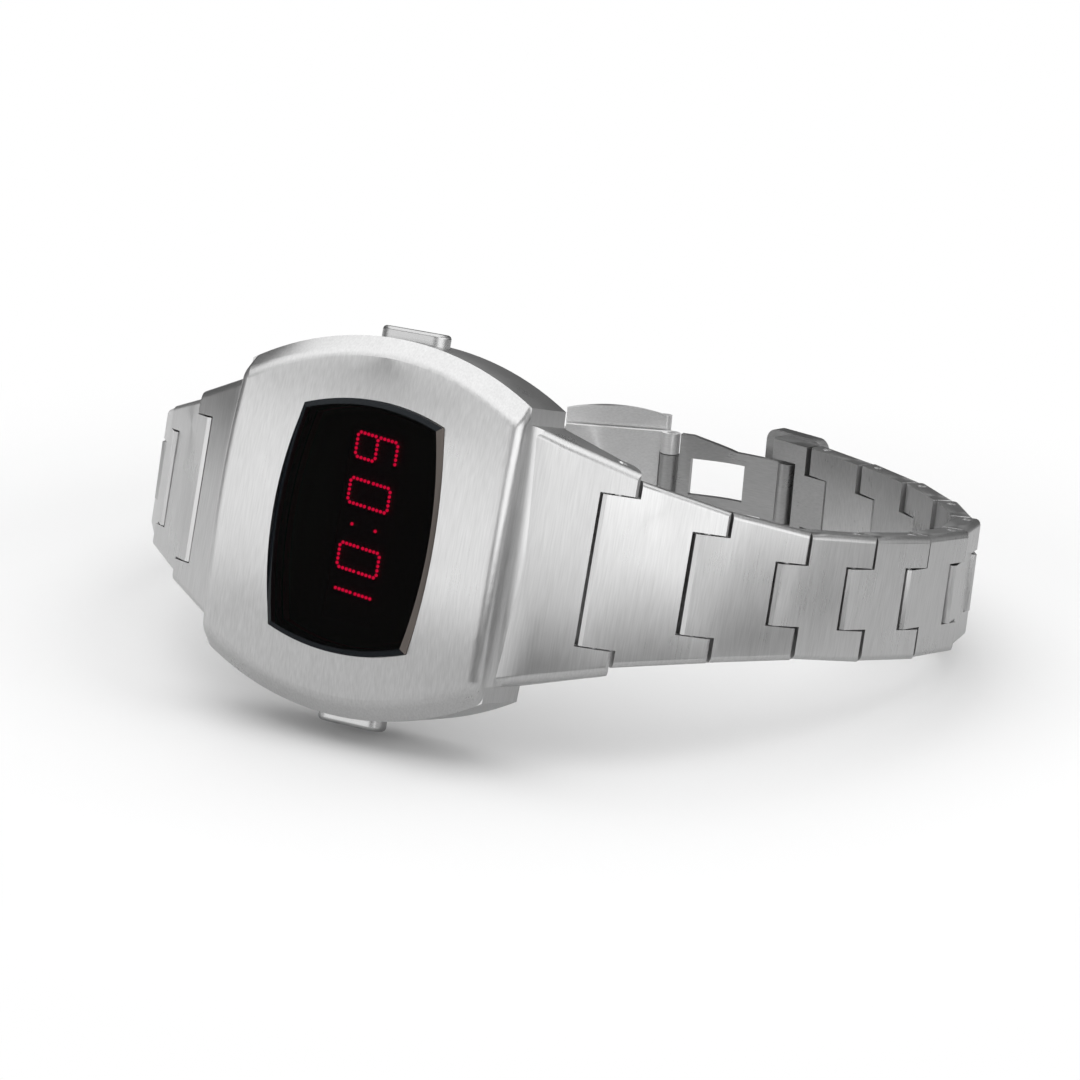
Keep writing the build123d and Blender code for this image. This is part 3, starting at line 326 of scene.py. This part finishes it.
def crystal_glass():
    """Dark red filter glass with a glossy face and a bevel painted dark, with a painted sheen
    where it faces six o'clock.
    """
    finish = Finish("dark crystal")
    normal = finish.node("ShaderNodeNewGeometry", {}, (), "Normal")
    bevel = 1 - finish.along(normal, -BACKWARD).between(*BEVEL_FACING)
    # Painted sheen on the bevel where it faces six o'clock
    painted_sheen_towards_six = finish.along(normal, ALONG).between(*SIX_OCLOCK_PAINTED_SHEEN)
    cloud = finish.noise(finish.where(), BEVEL_CLOUDS_PER_METRE)
    edge = finish.node("ShaderNodeBsdfPrincipled", {}, {
        "Base Color": finish.mixed(painted_sheen_towards_six, BEVEL_PAINTED_SHADE, BEVEL_PAINTED_SHEEN),
        "Roughness": cloud * 0.1 + 0.2,
        "Specular IOR Level": 0.2})
    deep = finish.node("ShaderNodeBsdfTransparent", {}, {"Color": FILTER_RED})
    gloss = finish.node("ShaderNodeBsdfGlossy", {}, {
        "Color": WHITE, "Roughness": GLOSS_ROUGHNESS})
    fresnel = finish.node("ShaderNodeFresnel", {}, {"IOR": FILTER_REFRACTION})
    face = finish.node("ShaderNodeMixShader", {}, (fresnel * GLOSS_SHARE, deep, gloss))
    return finish.surface(finish.node("ShaderNodeMixShader", {}, (bevel, face, edge)))


def plain(name, colour, roughness, metallic=0.0, spread=0.04):
    """Even finish with a little unevenness, for the pieces inside the case."""
    finish = Finish(name)
    cloud = finish.noise(finish.where(), PLAIN_CLOUDS_PER_METRE, 3)
    dark = tuple(max(0, part - spread) for part in colour) + (1,)
    return finish.surface(finish.node("ShaderNodeBsdfPrincipled", {}, {
        "Base Color": finish.mixed(cloud, dark, colour + (1,)),
        "Roughness": (cloud - 0.5) * PLAIN_ROUGHNESS_SPREAD + roughness,
        "Metallic": metallic}))


def lit_red():
    """Glowing red of a display dot."""
    finish = Finish("lit red dot")
    cloud = finish.noise(finish.where(), LIT_CLOUDS_PER_METRE, 1)
    return finish.surface(finish.node("ShaderNodeBsdfPrincipled", {}, {
        "Base Color": UNLIT_RED,
        "Roughness": 0.5,
        "Emission Color": finish.mixed(cloud, *LIT_GLOW),
        "Emission Strength": LIT_STRENGTH}))


def segment_dots():
    """Places of the dots of the seven segments, up and across the digit."""
    top = DIGIT_HALF_HEIGHT
    side = DIGIT_HALF_WIDTH
    last = top - LONG_SEGMENT_CUT
    step = (last - LONG_SEGMENT_START) / (DOTS_PER_LONG_SEGMENT - 1)
    ups = [LONG_SEGMENT_START + step * count for count in range(DOTS_PER_LONG_SEGMENT)]
    reach = side - SHORT_SEGMENT_CUT
    stride = reach * 2 / (DOTS_PER_SHORT_SEGMENT - 1)
    overs = [-reach + stride * count for count in range(DOTS_PER_SHORT_SEGMENT)]
    return {
        "a": [(top, over) for over in overs],
        "b": [(up, side) for up in ups],
        "c": [(-up, side) for up in ups],
        "d": [(-top, over) for over in overs],
        "e": [(-up, -side) for up in ups],
        "f": [(up, -side) for up in ups],
        "g": [(0, over) for over in overs],
    }


def dot_places():
    """All lit dots as case X and Z."""
    segments = segment_dots()
    places = []
    for centre, digit in zip(DIGIT_CENTRES, DIGIT_TEXT):
        for letter in SEGMENTS_OF_DIGIT[digit]:
            for up, over in segments[letter]:
                places.append((-up, centre + over + up * DIGIT_SLANT))
    for up in (COLON_HALF_HEIGHT, -COLON_HALF_HEIGHT):
        places.append((-up, up * DIGIT_SLANT))
    return places


def nothing_selected():
    """Leave no object selected."""
    bpy.ops.object.select_all(action="DESELECT")


def lit_dot():
    """One dot: a small disc whose front is raised inside its rim."""
    nothing_selected()
    bpy.ops.mesh.primitive_cylinder_add(vertices=DOT_SIDES, radius=DOT_RADIUS, depth=DOT_THICKNESS)
    dot = bpy.context.object
    bpy.ops.object.mode_set(mode="EDIT")
    bpy.ops.mesh.select_mode(type="FACE")
    bpy.ops.mesh.select_all(action="DESELECT")
    bpy.ops.object.mode_set(mode="OBJECT")
    for face in dot.data.polygons:
        face.select = face.normal.z > 0.5
    bpy.ops.object.mode_set(mode="EDIT")
    bpy.ops.mesh.inset(thickness=DOT_RIM)
    bpy.ops.transform.translate(value=(0, 0, DOT_RISE))
    bpy.ops.object.mode_set(mode="OBJECT")
    return dot


def display_dots(material):
    """Every lit dot, copied from one and joined as one piece."""
    facing = (-BACKWARD).to_track_quat("Z", "Y").to_euler()
    pattern = lit_dot()
    dots = []
    for x, z in dot_places():
        nothing_selected()
        pattern.select_set(True)
        bpy.context.view_layer.objects.active = pattern
        bpy.ops.object.duplicate()
        dot = bpy.context.object
        dot.location = case_point(x, DOT_DEPTH, z)
        dot.rotation_euler = facing
        dots.append(dot)
    nothing_selected()
    pattern.select_set(True)
    bpy.ops.object.delete()
    for dot in dots:
        dot.select_set(True)
    bpy.context.view_layer.objects.active = dots[0]
    bpy.ops.object.join()
    piece = bpy.context.object
    bpy.ops.object.transform_apply(location=True, rotation=True, scale=True)
    piece.name = "display_dots"
    piece.data.materials.clear()
    piece.data.materials.append(material)
    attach(piece, "watch_head")


def finish_for(node_name, slot):
    """Name of the finish that a CAD node wears."""
    if slot != "steel":
        return slot.replace("_", " ")
    if node_name in ("clasp_base_plate", "clasp_cover"):
        return "clasp plate steel painted light"
    group = node_name.split("_")[0]
    return group + " steel" if group in ("case", "clasp", "pusher") else "link steel"


def dress(nodes):
    """Give every CAD node its finish."""
    finishes = {name: brushed_steel(name, **recipe) for name, recipe in STEELS.items()}
    finishes["crystal"] = crystal_glass()
    finishes["rubber"] = plain("black rubber", (0.03, 0.03, 0.03), 0.8)
    finishes["display"] = plain("black display block", (0.006, 0.003, 0.003), 0.55, spread=0.003)
    finishes["board"] = plain("green board", (0.05, 0.16, 0.08), 0.5)
    finishes["cell"] = plain("plated cell", (0.7, 0.7, 0.68), 0.3, metallic=1.0)
    finishes["contact"] = plain("plated spring leaf", (0.75, 0.6, 0.3), 0.35, metallic=1.0)
    slots = {part["node"]: part["material_slot"] for part in frame["record"]["subparts"]}
    for name, node in nodes.items():
        node.data.materials.clear()
        node.data.materials.append(finishes[finish_for(name, slots[name])])


def camera():
    """Camera at the photograph's angle."""
    toward = Vector((
        math.sin(VIEW_AZIMUTH) * math.cos(VIEW_ELEVATION),
        math.sin(VIEW_ELEVATION),
        math.cos(VIEW_AZIMUTH) * math.cos(VIEW_ELEVATION)))
    level = Vector((math.cos(VIEW_AZIMUTH), 0, -math.sin(VIEW_AZIMUTH)))
    raised = toward.cross(level)
    right = level * math.cos(VIEW_ROLL) + raised * math.sin(VIEW_ROLL)
    up = raised * math.cos(VIEW_ROLL) - level * math.sin(VIEW_ROLL)
    focal_pixels = PIXELS_PER_MM / MM * VIEW_DISTANCE
    half = IMAGE_WIDTH / 2
    shift_right = (FACE_PIXEL_X - half) * VIEW_DISTANCE / focal_pixels
    shift_up = (half - FACE_PIXEL_Y) * VIEW_DISTANCE / focal_pixels

    def turned(vector):
        return ALONG * vector.x + ACROSS * vector.y - BACKWARD * vector.z

    eye = FACE_CENTRE + turned(toward * VIEW_DISTANCE - right * shift_right - up * shift_up)
    bpy.ops.object.camera_add()
    made = bpy.context.object
    made.name = "photograph_camera"
    columns = Matrix((turned(right), turned(up), turned(toward))).transposed()
    made.matrix_world = Matrix.Translation(eye) @ columns.to_4x4()
    made.data.sensor_width = SENSOR_WIDTH
    made.data.lens = focal_pixels / IMAGE_WIDTH * SENSOR_WIDTH
    made.data.clip_start = 0.01
    bpy.context.scene.camera = made


def softbox(name, place, target, width, height, brightness):
    """Rectangular soft light aimed at a point, as bright as white paper at brightness 1."""
    bpy.ops.object.light_add(type="AREA", location=place)
    lamp = bpy.context.object
    lamp.name = name
    lamp.data.shape = "RECTANGLE"
    lamp.data.size = width
    lamp.data.size_y = height
    lamp.data.energy = brightness * math.pi * width * height
    lamp.rotation_euler = (Vector(target) - Vector(place)).to_track_quat("-Z", "Y").to_euler()


def studio_world():
    """Grey surroundings, darker behind and paler at the right, to the camera an even pale grey."""
    world = bpy.data.worlds.new("studio")
    bpy.context.scene.world = world
    world.use_nodes = True
    finish = Finish("studio", world.node_tree)
    direction = finish.node("ShaderNodeTexCoord", {}, (), "Generated")
    behind = finish.along(direction, AWAY).between(*STUDIO_BEHIND)
    right = finish.along(direction, RIGHTWARD).between(*STUDIO_RIGHT)
    shade = STUDIO_SHADE - behind * STUDIO_DARKER_BEHIND + right * STUDIO_PALER_RIGHT
    camera_ray = finish.node("ShaderNodeLightPath", {}, (), "Is Camera Ray")
    through_ray = finish.node("ShaderNodeLightPath", {}, (), "Is Transmission Ray")
    seen = (camera_ray + through_ray).clipped()
    light = finish.node("ShaderNodeBackground", {}, {"Strength": shade * (1 - seen) + seen})
    finish.node("ShaderNodeOutputWorld", {}, {"Surface": light})


def floor():
    """White floor that keeps the watch's soft shadow and fades to white.

    The steel mirrors it with painted light at the left and painted shade behind and at the near
    right.
    """
    bpy.ops.mesh.primitive_plane_add(size=FLOOR_SIZE)
    ground = bpy.context.object
    ground.name = "floor"
    finish = Finish("white floor")
    where = finish.where()
    distance = finish.node("ShaderNodeVectorMath", {"operation": "LENGTH"}, (where,), "Value")
    camera_ray = finish.node("ShaderNodeLightPath", {}, (), "Is Camera Ray")
    left = finish.along(where, LEFTWARD).between(*FLOOR_LEFT)
    near = 1 - finish.along(where, RIGHTWARD).between(*FLOOR_FAR_RIGHT)
    front_right = finish.along(where, FRONT_RIGHT).between(*FLOOR_FRONT_RIGHT) * near
    behind = finish.along(where, AWAY).between(*FLOOR_BEHIND)
    # Painted light at the left and painted shade behind and at the near right, seen only in the
    # steel's reflections
    painted_mirror_tint = (left * FLOOR_PAINTED_LIGHT_LEFT - front_right * FLOOR_PAINTED_SHADE_FRONT_RIGHT
                - behind * FLOOR_PAINTED_SHADE_BEHIND + FLOOR_MIRRORED).clipped()
    tint = finish.mixed(camera_ray, painted_mirror_tint, grey(FLOOR_SEEN))
    paper = finish.node("ShaderNodeBsdfDiffuse", {}, {"Color": tint})
    white = finish.node("ShaderNodeEmission", {}, (WHITE, 1.0))
    faded = distance.between(*FLOOR_FADE) * camera_ray
    ground.data.materials.append(finish.surface(
        finish.node("ShaderNodeMixShader", {}, (faded, paper, white))))


def lights():
    """A large overhead softbox, one at the left front and one at the right."""
    for name, (place, target, width, height, brightness) in SOFTBOXES.items():
        softbox(name, place, target, width, height, brightness)


bpy.context.scene.view_settings.view_transform = "Standard"

dress(frame["nodes"])
display_dots(lit_red())
floor()
lights()
studio_world()
camera()
